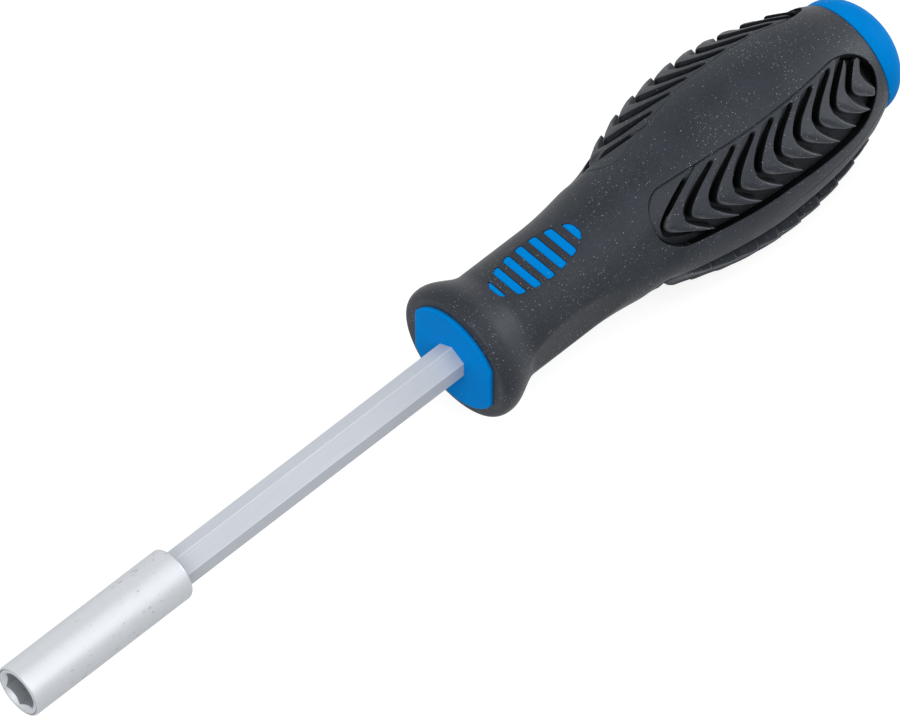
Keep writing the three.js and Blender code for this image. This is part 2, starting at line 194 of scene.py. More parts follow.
# Rows of one rib: parts of its nose, top, facet and groove floor, with two rows at the top's rear edge
# between top and facet. For each row, its share of painted highlight on the edges, and its share of
# painted shade on the upper and lower arm.
NOSE_PARTS = np.array([0.0, 0.08, 0.22, 0.5, 1.0])
TOP_PARTS = np.array([0.2, 0.4, 0.6, 0.8, 1.0])
FACET_PARTS = np.array([0.25, 0.5, 0.75, 1.0])
FLOOR_PARTS = np.array([0.0, 0.33, 0.67, 1.0])
ROWS = np.arange(20)
NOSE_ROWS = (ROWS < 5)[:, None]
FACET_ROWS = ((ROWS > 11) & (ROWS < 16))[:, None]
ROW_PAINTED_HIGHLIGHT = np.array([0.0, 0.7, 1.0] + 7 * [0.0] + [0.5, 1.0] + 8 * [0.0])[:, None]
UPPER_PAINTED_SHADE = np.array([0.8, 0.2] + 10 * [0.0] + 4 * [0.12] + 4 * [1.0])[:, None]
LOWER_PAINTED_SHADE = np.array([0.35] + 11 * [0.0] + [0.3, 0.4, 0.5, 0.55, 0.6, 0.62, 0.65, 0.7])[:, None]

# Floor, in millimetres, and camera, in metres
FLOOR_HALF = 2500.0
CAMERA_TURN = math.radians(-43.77)
CAMERA_HEIGHT = math.radians(53.123)
CAMERA_AIM = (0.08873, 0.000141, 0.000578)
CAMERA_DISTANCE = 2.2141


def ease(t):
    """Smooth step: three t squared less two t cubed, held between 0 and 1."""
    t = np.clip(t, 0.0, 1.0)
    return t * t * (3.0 - 2.0 * t)


def mix(a, b, t):
    """The value t of the way from a to b."""
    return a + (b - a) * t


def around(station, radius, angle):
    """Points at a station on the axis, a radius, and an angle from straight up towards +Y."""
    station, radius, angle = np.broadcast_arrays(station, radius, angle)
    return np.stack([station, radius * np.sin(angle), radius * np.cos(angle)], axis=-1)


class Skin:
    """Gathers grids of points, in millimetres, into the one closed mesh of a piece."""

    def __init__(self):
        self.points = []
        self.faces = []
        # Marks that the mesh carries: a painted highlight on edges and painted shade in hollows.
        self.marks = {"painted_edge_highlight": [], "painted_shade": []}
        self.count = 0

    def add(self, grid, ring=False, loop=False, turned=False, mirror=(1, 1, 1), painted_highlight=0.0, painted_shade=0.0):
        """Adds rows and columns of points as quads. ring joins the last column to the first, loop the
        last row to the first, turned swaps the outer side, mirror multiplies X, Y and Z. The first of
        the two marks is a painted highlight on edges, the second painted shade on the walls and floors
        of grooves and other hollows, both from 0 to 1."""
        rows, columns = grid.shape[:2]
        index = self.count + np.arange(rows * columns).reshape(rows, columns)
        if ring:
            index = np.concatenate([index, index[:, :1]], axis=1)
        if loop:
            index = np.concatenate([index, index[:1]], axis=0)
        corners = [index[:-1, :-1], index[1:, :-1], index[1:, 1:], index[:-1, 1:]]
        quads = np.stack(corners, axis=-1).reshape(-1, 4)
        if turned != (np.prod(mirror) < 0):
            quads = quads[:, ::-1]
        self.faces.append(quads)
        self.points.append(grid.reshape(-1, 3) * np.array(mirror))
        for mark, value in zip(self.marks.values(), (painted_highlight, painted_shade)):
            mark.append(np.broadcast_to(value, (rows, columns)).ravel())
        self.count += rows * columns

    def add_slab(self, top, bottom, mirror=(1, 1, 1), painted_highlight=0.0, painted_shade=0.0):
        """Closes an outer grid and an inner grid of the same size with four walls."""
        self.add(top, mirror=mirror, painted_highlight=painted_highlight, painted_shade=painted_shade)
        self.add(bottom, turned=True, mirror=mirror)
        self.add(np.stack([top[:, 0], bottom[:, 0]]), mirror=mirror)
        self.add(np.stack([top[:, -1], bottom[:, -1]]), turned=True, mirror=mirror)
        self.add(np.stack([top[0], bottom[0]]), turned=True, mirror=mirror)
        self.add(np.stack([top[-1], bottom[-1]]), mirror=mirror)

    def mesh(self, name):
        """The gathered grids as a mesh in metres, with seams and poles merged."""
        made = bpy.data.meshes.new(name)
        points = np.concatenate(self.points) * MM
        made.from_pydata(points.tolist(), [], np.concatenate(self.faces).tolist())
        for label, values in self.marks.items():
            mark = made.attributes.new(label, "FLOAT", "POINT")
            mark.data.foreach_set("value", np.concatenate(values).astype(np.float32))
        merged = bmesh.new()
        merged.from_mesh(made)
        bmesh.ops.remove_doubles(merged, verts=merged.verts, dist=0.002 * MM)
        merged.to_mesh(made)
        merged.free()
        return made


def place_object(name, data):
    """Puts a mesh, lamp or camera in the scene."""
    holder = bpy.data.objects.new(name, data)
    bpy.context.scene.collection.objects.link(holder)
    return holder


def make_piece(name, shape, material, node, crease=32.0):
    """Puts a gathered skin or a mesh in the scene as a piece that stands for a CAD node: smooth, with
    edges that turn by more than crease degrees kept sharp."""
    mesh = shape.mesh(name) if isinstance(shape, Skin) else shape
    mesh.polygons.foreach_set("use_smooth", np.ones(len(mesh.polygons), dtype=bool))
    mesh.set_sharp_from_angle(angle=math.radians(crease))
    mesh.materials.append(material)
    piece = place_object(name, mesh)
    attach(piece, "root")
    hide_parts(node)


def turned(profile, angle):
    """Carries a profile of (station, radius) pairs round the axis; each value is one number or one
    number per angle."""
    station = np.stack([np.broadcast_to(x, angle.shape) for x, r in profile])
    radius = np.stack([np.broadcast_to(r, angle.shape) for x, r in profile])
    return around(station, radius, angle)


def round_over(x0, r0, x1, r1, steps, along_first):
    """Quarter of an ellipse from (x0, r0) to (x1, r1) that sets off along the axis or away from it."""
    t = np.linspace(0.0, QUARTER, steps)
    quick = np.sin(t)
    late = 1.0 - np.cos(t)
    u, v = (quick, late) if along_first else (late, quick)
    return list(zip(mix(x0, x1, u), mix(r0, r1, v)))


def even_turn(count):
    """Angles of one turn in equal steps."""
    return np.linspace(0.0, 2.0 * math.pi, count, endpoint=False)


def hexagon_turn(steps):
    """Angles of one turn crowded towards the six corners: in each half side, the angle from the
    corner is 30 degrees times the square of an even count."""
    half = math.pi / 6 * np.linspace(0.0, 1.0, steps, endpoint=False) ** 2
    side = np.concatenate([half, math.pi / 6, math.pi / 3 - half[:0:-1]], axis=None)
    return (np.arange(6)[:, None] * math.pi / 3 + side).ravel()


def hexagon_radius(angle, flats, corner=0.0):
    """Distance from the axis to a hexagon with corners straight up and down: half the flats over the
    cosine of the angle from the nearest flat, or near a corner the far side of its rounding circle."""
    apothem = flats / 2
    off_flat = np.mod(angle, math.pi / 3) - math.pi / 6
    side = apothem / np.cos(off_flat)
    if not corner:
        return side
    centre = (apothem - corner) / math.cos(math.pi / 6)
    off_corner = math.pi / 6 - np.abs(off_flat)
    tangent = math.atan2(corner / 2, centre + corner * math.cos(math.pi / 6))
    under = np.clip(corner ** 2 - (centre * np.sin(off_corner)) ** 2, 0.0, None)
    arc = centre * np.cos(off_corner) + np.sqrt(under)
    return np.where(off_corner < tangent, arc, side)


# Shape of the handle

def body_radius(x):
    """Belly of the handle: a smooth step from the neck to the crest, then a fall by a power."""
    rise = mix(NECK_RADIUS, BELLY_RADIUS, ease((x - NECK_END) / BELLY_RISE))
    past = np.clip((x - BELLY_CREST) / BELLY_FALL, 0.0, 1.0)
    fall = mix(BELLY_RADIUS, TAIL_RADIUS, past ** BELLY_FALL_POWER)
    return np.where(x < BELLY_CREST, rise, fall)


def grip_radius(x, angle):
    """Skin of the grip: the belly plus a flange that eases out of the neck and rounds over at its lip,
    cut by four slightly hollow flats in the neck with soft edges, less a dip in front of each panel's
    first rib, a bell curve both ways, and the fine parting line on both sides."""
    flange = (FLANGE_RADIUS - NECK_RADIUS) * (1.0 - ease((x - GRIP_FACE - FLANGE_CREST) / FLANGE_RUN))
    ahead = 1.0 - np.clip((x - GRIP_FACE) / FLANGE_CREST, 0.0, 1.0)
    lip = 1.0 - np.clip(1.0 - ahead ** FLANGE_LIP_POWER, 0.0, 1.0) ** (1.0 / FLANGE_LIP_POWER)
    radius = body_radius(x) + flange - FLANGE_LIP * lip
    along = (x - FLAT_CENTRE) / FLAT_HALF_LENGTH
    off_flat = np.mod(angle + QUARTER / 2, QUARTER) - QUARTER / 2
    flat = (radius - FLAT_DEPTH * (1.0 - along ** 2)) / np.cos(off_flat)
    overlap = np.clip(1.0 - np.abs(radius - flat) / FLAT_SOFTNESS, 0.0, None)
    radius = np.minimum(radius, flat) - FLAT_SOFTNESS / 4 * overlap ** 2
    off_top = np.arccos(np.clip(np.abs(np.cos(angle)), 0.0, 1.0))
    dip = np.exp(-((x - DIP_STATION) / DIP_LENGTH) ** 2 - ((off_top - DIP_ANGLE) / DIP_SPREAD) ** 2)
    off_side = np.mod(angle, math.pi) - QUARTER
    parting = PARTING_DEPTH * np.exp(-(radius * off_side / PARTING_WIDTH) ** 2)
    return radius - DIP_DEPTH * dip - parting * ease((x - PARTING_START) / PARTING_RUN)


def panel_edges(x):
    """Angles of a panel's long edges: the top band narrows with the body, the side band towards the
    rear."""
    body = body_radius(x)
    upper = np.arcsin(TOP_BAND_HALF / BELLY_RADIUS * (body / BELLY_RADIUS) ** TOP_BAND_POWER)
    half = SIDE_BAND_HALF - SIDE_BAND_TAPER * np.clip((x - BELLY_CREST) / BELLY_FALL, 0.0, 1.0)
    return upper, np.arccos(half / body)


def leaf_stations(move):
    """Stations along a leaf grown by move: even in the middle, by the cosine in both rounded ends."""
    start = PANEL_FRONT - move
    end = PANEL_REAR + move
    front = start + PANEL_FRONT_ROUND * (1.0 - np.cos(np.linspace(0.0, QUARTER, 26)))
    rear = end - PANEL_REAR_ROUND * (1.0 - np.cos(np.linspace(QUARTER, 0.0, 40)))
    middle = np.linspace(front[-1], rear[0], 86)[1:-1]
    return np.concatenate([front, middle, rear])


def leaf_edges(x, move):
    """The two edge angles of a leaf grown by move: the panel's edges, drawn together at both ends by
    quarter ellipses."""
    upper, lower = panel_edges(x)
    body = body_radius(x)
    upper = upper - move / body
    lower = lower + move / body
    front = (x - PANEL_FRONT + move) / PANEL_FRONT_ROUND
    rear = (PANEL_REAR + move - x) / PANEL_REAR_ROUND
    inside = np.clip(np.minimum(front, rear), 0.0, 1.0)
    half = (lower - upper) / 2 * np.sqrt(1.0 - (1.0 - inside) ** 2)
    middle = (lower + upper) / 2
    return middle - half, middle + half


def vertex_share(x):
    """Share of the panel's width at which the ribs bend: it moves up towards the rear."""
    return np.interp(x, *VERTEX_SHARES)


def rib_width(rib, above, below, w):
    """Width along the axis of one rib's top: widest at the vertex, narrowing upwards by a line and a
    square, downwards by a power, with the free rear ribs ended short."""
    past = np.clip(above - ARM_TAPER_START, 0.0, None)
    width = RIB_WIDTH * (1.0 - below ** 2.0) - ARM_TAPER * above - ARM_SQUARE_TAPER * past ** 2
    if rib == RIB_COUNT - 2:
        width = width - 0.25 * np.clip(above - 2.5, 0.0, None) ** 2
    if rib == RIB_COUNT - 1:
        top_end = np.sqrt(np.clip((3.35 - above) / 0.9, 0.0, 1.0))
        tip_end = np.sqrt(np.clip((4.5 - w) / 0.8, 0.0, 1.0))
        width = (width + 0.3) * top_end * tip_end
    return np.clip(width, 0.0, None)


def rib_lines(rib, x, share):
    """Lines of one rib where it passes the stations x at shares of the panel's width.

    front, its front edge, is a bent line: from the vertex it sweeps back upwards as a hyperbola and
    downwards as a power to a pointed tip. w is the length across the panel from the vertex and above
    its upper part, square turns a length along the axis into one square to the edge, edge is where the
    groove behind the top starts, left how far that groove still runs on upwards, and lower_arm is 1 on
    the arm below the vertex."""
    upper, lower = panel_edges(x)
    span = body_radius(x) * (lower - upper)
    vertex = vertex_share(x)
    w = span * (share - vertex)
    reach = np.interp(x, *TIP_REACHES)
    above = np.clip(-w, 0.0, None)
    below = np.clip(w, 0.0, None) / reach
    arm = np.hypot(1.0, above / ARM_BEND)
    held = np.minimum(below, 1.0)
    sweep = np.interp(x, *ARM_SWEEPS)
    trail = np.interp(x, *ARM_TRAILS)
    front = sweep * (arm - 1.0) + trail * held ** TRAIL_POWER + TIP_SLOPE * (below - held)
    slope = sweep * above / ARM_BEND ** 2 / arm
    slope = slope + trail * TRAIL_POWER / reach * held ** (TRAIL_POWER - 1.0)
    square = 1.0 / np.hypot(1.0, slope)
    width = rib_width(rib, above, held, w) if rib >= 0 else 0.0 * w
    end = GROOVE_END + 0.04 * (1.0 - ease((x - 138.0) / 10.0))
    left = span * (vertex - end) - above if rib < RIB_COUNT - 3 else 9.0 + 0.0 * w
    gap = FIRST_GAP if rib < 0 else GROOVE_GAP - GROOVE_TAPER * above
    edge = np.maximum(RIB_PITCH - gap / square, width)
    lower_arm = ease((w + 0.4) / 2.4)
    sloped = width + FACET_SHARE * lower_arm * (1.0 - held ** 1.5) * (RIB_PITCH - width)
    if rib >= RIB_COUNT - 2:
        edge = sloped
    elif rib >= 0:
        edge = mix(edge, sloped, lower_arm)
    gap = (RIB_PITCH - edge) * square
    lines = SimpleNamespace(front=front, w=w, above=above, square=square, width=width)
    lines.edge, lines.gap, lines.left, lines.lower_arm = edge, gap, left, lower_arm
    return lines


def groove_open(line, to_front):
    """1 inside the groove behind a rib and 0 past its upper end, which is cut square to the groove and
    rounded by a parabola; to_front is the length along the axis to the next rib's front edge."""
    slope = np.sqrt(1.0 / line.square ** 2 - 1.0)
    inside = (line.left + to_front * slope * line.square ** 2) / line.square
    across = 2.0 * to_front * line.square / np.maximum(line.gap, 0.05) - 1.0
    return ease((inside - 0.35 * line.gap * across ** 2) / 0.25 + 0.5)


def floor_radius(x):
    """Radius of the grooves' floor: under the body, a little deeper towards the rear."""
    return body_radius(x) - FLOOR_SINK - FLOOR_SINK_REAR * ease((x - 168.0) / 8.0)


def top_radius(x, share):
    """Radius of the rib tops, which rise out of the body below the top band and fall a little towards
    their tips."""
    lead = ease((x - RISE_START) / RISE_FRONT_RUN)
    lag = ease((RISE_END - x) / RISE_REAR_RUN)
    across = ease(share / RISE_SHARE) * (1.0 - TIP_FALL * ease((share - 0.74) / 0.26))
    return body_radius(x) + RIB_RISE * across * lead * lag


def rib_rows(rib, share):
    """Stations of one rib's rows from its front edge to the next rib's, with their offsets from that
    edge and the nose's share of its full rounding. Each row solves its station by repeating
    x = vertex + front line + offset, because the lines depend a little on x."""
    vertex = FIRST_VERTEX + rib * RIB_PITCH
    nose_start = NOSE_START if rib else FIRST_NOSE_START
    x = vertex + np.zeros((ROWS.size, share.size))
    for _ in range(8):
        line = rib_lines(rib, x, share)
        past = share - vertex_share(x)
        nose = ease((past + nose_start) / 0.15) * (1.0 - 0.7 * ease((past - 0.2) / 0.12))
        roll = np.minimum(mix(EDGE_ROLL, NOSE_ROLL, nose) / line.square, 0.65 * line.width)
        back = np.minimum(EDGE_ROLL / line.square, 0.2 * line.width)
        foot = np.minimum(RIB_FOOT / line.square, 0.3 * (RIB_PITCH - line.edge))
        offsets = [roll * part for part in NOSE_PARTS]
        offsets += [mix(roll, line.width - back, part) for part in TOP_PARTS]
        offsets += [line.width - 0.3 * back, line.width]
        offsets += [mix(line.width, line.edge, part) for part in FACET_PARTS]
        offsets += [mix(line.edge + foot, RIB_PITCH - foot, part) for part in FLOOR_PARTS]
        offset = np.stack(offsets)[ROWS, ROWS]
        x = vertex + line.front + offset
    return x, offset, nose


def rib_cell(rib, share):
    """Surface of one rib from its front edge to the next rib's: its nose rounded by an ellipse, more
    like a parabola at the bend, its top, the sloped facet behind it, the wall, and the groove's floor.
    Both edges of the top carry a painted highlight. Painted shade lies in the groove, at the nose's
    foot, on the facet, more towards the rear, where a rib has no width, and along the lower edge of the
    lower arms."""
    x, offset, nose = rib_rows(rib, share)
    line = rib_lines(rib, x, share)
    before = rib_lines(rib - 1, x, share)
    behind = ease(line.gap / 0.3) * groove_open(line, RIB_PITCH - offset)
    ahead = ease(before.gap / 0.4) * groove_open(before, 0.0)
    floor = floor_radius(x)
    free = (line.w > 0.0) | (rib >= RIB_COUNT - 2)
    tilt = RIB_TILT * ease((share - GROOVE_END) / 0.2)
    stand = np.where(free, ease(line.width / 0.25), 1.0)
    top = top_radius(x, share) - tilt * np.clip(offset / RIB_WIDTH, 0.0, 1.0)
    crest = mix(floor, top, stand)
    rear_drop = EDGE_DROP * np.where(free, 1.0, 1.0 - ease(line.above / 1.5))
    nose_drop = mix(EDGE_DROP, NOSE_DROP if rib else FIRST_NOSE_DROP, nose) * ahead * stand
    upper_drop = mix(0.12, 0.7, ease((x - 140.0) / 28.0)) * ease(line.above / 2.0) * ease(share / 0.2)
    upper_drop = upper_drop * behind * ease((line.edge - line.width) / 0.6)
    drop = mix(upper_drop, FACET_DROP * (crest - rear_drop - floor), line.lower_arm)
    heights = []
    for part in NOSE_PARTS:
        away = (1.0 - part) ** 2
        heights.append(crest - nose_drop * mix(1.0 - np.sqrt(1.0 - away), away, 0.6 * nose))
    heights += [crest for part in TOP_PARTS]
    heights += [crest - 0.3 * rear_drop, crest - rear_drop]
    heights += [crest - rear_drop - drop * part for part in FACET_PARTS]
    heights += [mix(crest, floor, behind) for part in FLOOR_PARTS]
    height = np.stack(heights)[ROWS, ROWS]
    # Painted highlight on both edges of the top, strongest on the lower arm.
    strength = mix(np.where(NOSE_ROWS, 0.3, 0.1), 1.0, line.lower_arm)
    painted_highlight = ROW_PAINTED_HIGHLIGHT * strength * ease(share / 0.2) * stand
    # Painted shade: the groove, the nose's foot, the facet more towards the rear, where a rib has no width,     and a strip along the panel's lower edge.
    rear_facet_shade = 0.7 * ease((x - 138.0) / 26.0) * FACET_ROWS
    painted_shade = mix(np.maximum(UPPER_PAINTED_SHADE, rear_facet_shade), LOWER_PAINTED_SHADE, line.lower_arm)
    painted_shade = painted_shade * np.where(NOSE_ROWS, ahead, behind)
    painted_shade = np.maximum(painted_shade, (1.0 - stand) * mix(1.0, 0.65, line.lower_arm))
    painted_shade = np.maximum(painted_shade, ease((share - 0.965) / 0.03) * line.lower_arm)
    return x, height, painted_highlight, painted_shade


def lobe_cell(share, start):
    """Rows of the flush front lobe from the panel's outline to the first groove: the grip's own
    radius, sinking to the floor below the first rib's vertex."""
    x = FIRST_VERTEX + np.zeros_like(share)
    for _ in range(8):
        line = rib_lines(-1, x, share)
        x = FIRST_VERTEX - RIB_PITCH + line.front + line.edge
    last = np.maximum(x, start)
    x = mix(start, last, np.linspace(0.0, 1.0, 18)[:, None] ** 1.6)
    upper, lower = panel_edges(x)
    skin = grip_radius(x, mix(upper, lower, share))
    w = body_radius(x) * (lower - upper) * (share - vertex_share(x))
    floor = np.minimum(floor_radius(x), skin)
    sunk = ease((w - 0.1) / 2.6)
    height = mix(skin, floor, sunk)
    line = rib_lines(-1, last, share)
    gap = line.gap / line.square
    foot = np.minimum(RIB_FOOT / line.square, 0.3 * gap)
    groove_x = mix(last + foot, last + gap - foot, FLOOR_PARTS[:, None])
    opened = ease(line.gap / 0.3) * groove_open(line, last + gap - groove_x)
    groove = mix(height[-1], floor[-1], opened)
    # Painted shade on the lobe where it sinks and in the first groove.
    painted_shade = np.concatenate([0.7 * sunk, np.maximum(0.7 * sunk[-1], opened)])
    return np.concatenate([x, groove_x]), np.concatenate([height, groove]), painted_shade


# Pieces

def make_sleeve(material):
    """Turned sleeve: countersink from the mouth ring down to the hexagon where cone and flats cross,
    outer skin with a broken front edge and a rounded rear end, hexagon bore for the blade, magnet
    bore, and the socket's walls back to the crossing line."""
    angle = hexagon_turn(18)
    socket = hexagon_radius(angle, SOCKET_FLATS)
    bore = hexagon_radius(angle, BLADE_FLATS + BLADE_FIT, BLADE_CORNER)
    crossing = MOUTH + (COUNTERSINK_RADIUS - socket) * COUNTERSINK_SLOPE
    profile = []
    for part in np.linspace(0.0, 1.0, 5):
        profile.append((mix(crossing, MOUTH, part), mix(socket, COUNTERSINK_RADIUS, part)))
    profile.append((MOUTH, COUNTERSINK_RADIUS + 0.06))
    profile.append((MOUTH, RING_LINE - RING_LINE_HALF))
    ring_row = len(profile)
    profile.append((MOUTH + RING_LINE_DEPTH, RING_LINE))
    profile.append((MOUTH, RING_LINE + RING_LINE_HALF))
    shoulder = SLEEVE_RADIUS - SLEEVE_FRONT_EDGE
    profile += round_over(MOUTH, shoulder, MOUTH + SLEEVE_FRONT_EDGE, SLEEVE_RADIUS, 5, False)
    profile += [(mix(MOUTH, SLEEVE_REAR, part), SLEEVE_RADIUS) for part in np.linspace(0.05, 0.95, 10)]
    rear = SLEEVE_REAR - SLEEVE_REAR_ROUND
    profile += round_over(rear, SLEEVE_RADIUS, SLEEVE_REAR, SLEEVE_RADIUS - SLEEVE_REAR_ROUND, 13, True)
    rear_row = len(profile) - 1
    profile += [
        (SLEEVE_REAR, bore + SLEEVE_BORE_BREAK),
        (SLEEVE_REAR - 1.2 * SLEEVE_BORE_BREAK, bore),
        (BLADE_FRONT, bore),
        (BLADE_FRONT - SQUARE_STEP, MAGNET_RADIUS + BLADE_FIT),
        (MAGNET_PROUD, MAGNET_RADIUS + BLADE_FIT),
        (MAGNET_PROUD - SQUARE_STEP, socket),
        (mix(MAGNET_PROUD, MOUTH, 0.5), socket),
    ]
    # Painted shade, 0 to 1 for each row: deep in the socket, in the ring line, round the rear end and the     bore's break, and on the socket's walls.
    dark = np.zeros((len(profile), 1))
    dark[0] = 0.25
    dark[ring_row] = 1.0
    dark[rear_row - 5:rear_row + 3] = 1.0
    dark[-2:] = 0.4
    skin = Skin()
    skin.add(turned(profile, angle), ring=True, loop=True, painted_shade=dark)
    make_piece("bit_sleeve_turned", skin, material, "bit_sleeve")


def make_magnet(material):
    """Turned disc with a bevelled front edge and a faintly dished face."""
    angle = even_turn(64)
    rear = MAGNET_LENGTH
    profile = [(0.03, 0.0), (0.02, 1.0), (0.0, MAGNET_RADIUS - MAGNET_EDGE - 0.1)]
    profile += round_over(0.0, MAGNET_RADIUS - MAGNET_EDGE, MAGNET_EDGE, MAGNET_RADIUS, 5, False)
    profile += [(rear - 0.1, MAGNET_RADIUS), (rear, MAGNET_RADIUS - 0.1), (rear, 0.0)]
    skin = Skin()
    skin.add(turned(profile, angle), ring=True)
    make_piece("socket_magnet_disc", skin, material, "socket_magnet")


def make_blade(material):
    """Hexagon bar with lightly rounded corners carried along the axis, broken at both ends, with the
    middle of its two side flats pushed out into wings inside the handle."""
    angle = hexagon_turn(18)
    bar = hexagon_radius(angle, BLADE_FLATS, BLADE_CORNER)
    winged = np.abs(bar * np.cos(angle)) < WING_HALF
    wings = np.where(winged, WING_REACH / np.clip(np.abs(np.sin(angle)), 0.2, None), bar)
    profile = [(BLADE_FRONT, 0.0), (BLADE_FRONT, bar - BLADE_BREAK), (BLADE_FRONT + BLADE_BREAK, bar)]
    profile += [(station, bar) for station in np.linspace(SLEEVE_REAR, WING_FRONT - 4.0, 24)]
    profile += [(WING_FRONT, bar), (WING_FRONT + SQUARE_STEP, wings)]
    profile += [(WING_REAR, wings), (WING_REAR + SQUARE_STEP, bar)]
    profile += [(TANG_END - BLADE_BREAK, bar), (TANG_END, bar - BLADE_BREAK), (TANG_END, 0.0)]
    # Painted highlight along the six rounded corners.
    painted_corner_highlight = 0.6 * (bar > bar.max() - 0.03)
    skin = Skin()
    skin.add(turned(profile, angle), ring=True, painted_highlight=painted_corner_highlight)
    make_piece("hex_blade_bar", skin, material, "hex_shaft", 20.0)


def collar_radius(angle, inset):
    """Round collar with two side flats, moved in by an inset: the lesser of circle and flats."""
    flats = (COLLAR_FLATS / 2 - inset) / np.clip(np.abs(np.sin(angle)), 0.01, None)
    return np.minimum(COLLAR_RADIUS - inset, flats)


def make_core(material):
    """Collar face and its rounded edge, then the hidden core under the grip, the stem's bore at the
    rear, a chamber for the wings and the hexagon hole of the blade, as one closed loop."""
    flat_corner = math.asin(COLLAR_FLATS / 2 / COLLAR_RADIUS)
    angle = np.concatenate([hexagon_turn(18), even_turn(180), [flat_corner, math.pi - flat_corner]])
    angle = np.unique(np.round(np.concatenate([angle, 2 * math.pi - angle[-2:]]), 9))
    hole = hexagon_radius(angle, BLADE_FLATS + BLADE_FIT, BLADE_CORNER)
    profile = [(COLLAR_FACE, hole)]
    for part in (0.25, 0.5, 0.75):
        profile.append((COLLAR_FACE, mix(hole, collar_radius(angle, COLLAR_EDGE), part)))
    for t in np.linspace(0.0, QUARTER, 7):
        inset = COLLAR_EDGE * (1.0 - math.sin(t))
        profile.append((COLLAR_FACE + COLLAR_EDGE * (1.0 - math.cos(t)), collar_radius(angle, inset)))
    profile.append((GRIP_FACE - SQUARE_STEP, collar_radius(angle, 0.0)))
    profile.append((GRIP_FACE, CORE_FRONT_RADIUS))
    for x in np.linspace(GRIP_FACE + 1.0, TAIL - 0.5, 40):
        profile.append((x, body_radius(x) - GRIP_WALL - CORE_FIT))
    stem_bore = STEM_RADIUS + STEM_FIT
    bore_end = TAIL - STEM_LENGTH - 2.0 * STEM_FIT
    chamber = WING_REACH + CORE_FIT
    profile += [
        (TAIL, TAIL_RADIUS - GRIP_WALL - 2.0 * CORE_FIT),
        (TAIL, stem_bore),
        (bore_end, stem_bore),
        (bore_end, chamber),
        (WING_FRONT - 0.5, chamber),
        (WING_FRONT - 0.5, hole),
    ]
    skin = Skin()
    skin.add(turned(profile, angle), ring=True, loop=True)
    make_piece("core_collar", skin, material, "handle_core")


def bar_grids(offset, half, growth, lift, depth):
    """Outer and inner grid of one bar: a strip of the neck's skin, as long at each station as the oval
    field is wide there, with rounded ends, lifted by lift and depth thick. Its edge is rounded over."""
    half = half + growth
    e = half * np.sin(np.linspace(-QUARTER, QUARTER, 25))
    t = np.sin(np.linspace(-QUARTER, QUARTER, 41))
    oval = np.sqrt(np.clip(1.0 - ((offset + e) / BAR_FIELD_HALF_LENGTH) ** 2, 0.0, 1.0))
    corner = np.clip((np.abs(e) - (half - BAR_ROUND)) / BAR_ROUND, 0.0, 1.0)
    reach = BAR_FIELD_HALF_WIDTH * oval + growth - BAR_ROUND * (1.0 - np.sqrt(1.0 - corner ** 2))
    reach = np.clip(reach, 0.05, None)
    x = FLAT_CENTRE + offset + e[:, None] + 0.0 * t
    side = reach[:, None] * t
    angle = side / NECK_RADIUS
    skin = grip_radius(x, angle)
    inside = np.minimum(half - np.abs(e)[:, None], reach[:, None] * (1.0 - np.abs(t)))
    edge = 0.0 if growth else BAR_EDGE_DROP * (1.0 - ease(inside / BAR_EDGE_RUN))
    return around(x, skin + lift - edge, angle), around(x, skin - depth, angle)


def make_bars(material, mirror, name):
    """The row of seven bars on one side of the neck."""
    skin = Skin()
    for offset, half in zip(BAR_OFFSETS, BAR_HALF_WIDTHS):
        outer, inner = bar_grids(offset, half, 0.0, BAR_LIFT, BAR_DEPTH)
        skin.add_slab(outer, inner, mirror=mirror)
    make_piece(name, skin, material, "handle_core", 40.0)


def make_slots():
    """Closed bodies that cut the slots round all fourteen bars out of the grip."""
    skin = Skin()
    for side in (1, -1):
        for offset, half in zip(BAR_OFFSETS, BAR_HALF_WIDTHS):
            outer, inner = bar_grids(offset, half, SLOT_GROWTH, SLOT_LIFT, SLOT_DEPTH)
            skin.add_slab(outer, inner, mirror=(1, 1, side))
    return place_object("slots", skin.mesh("slots"))


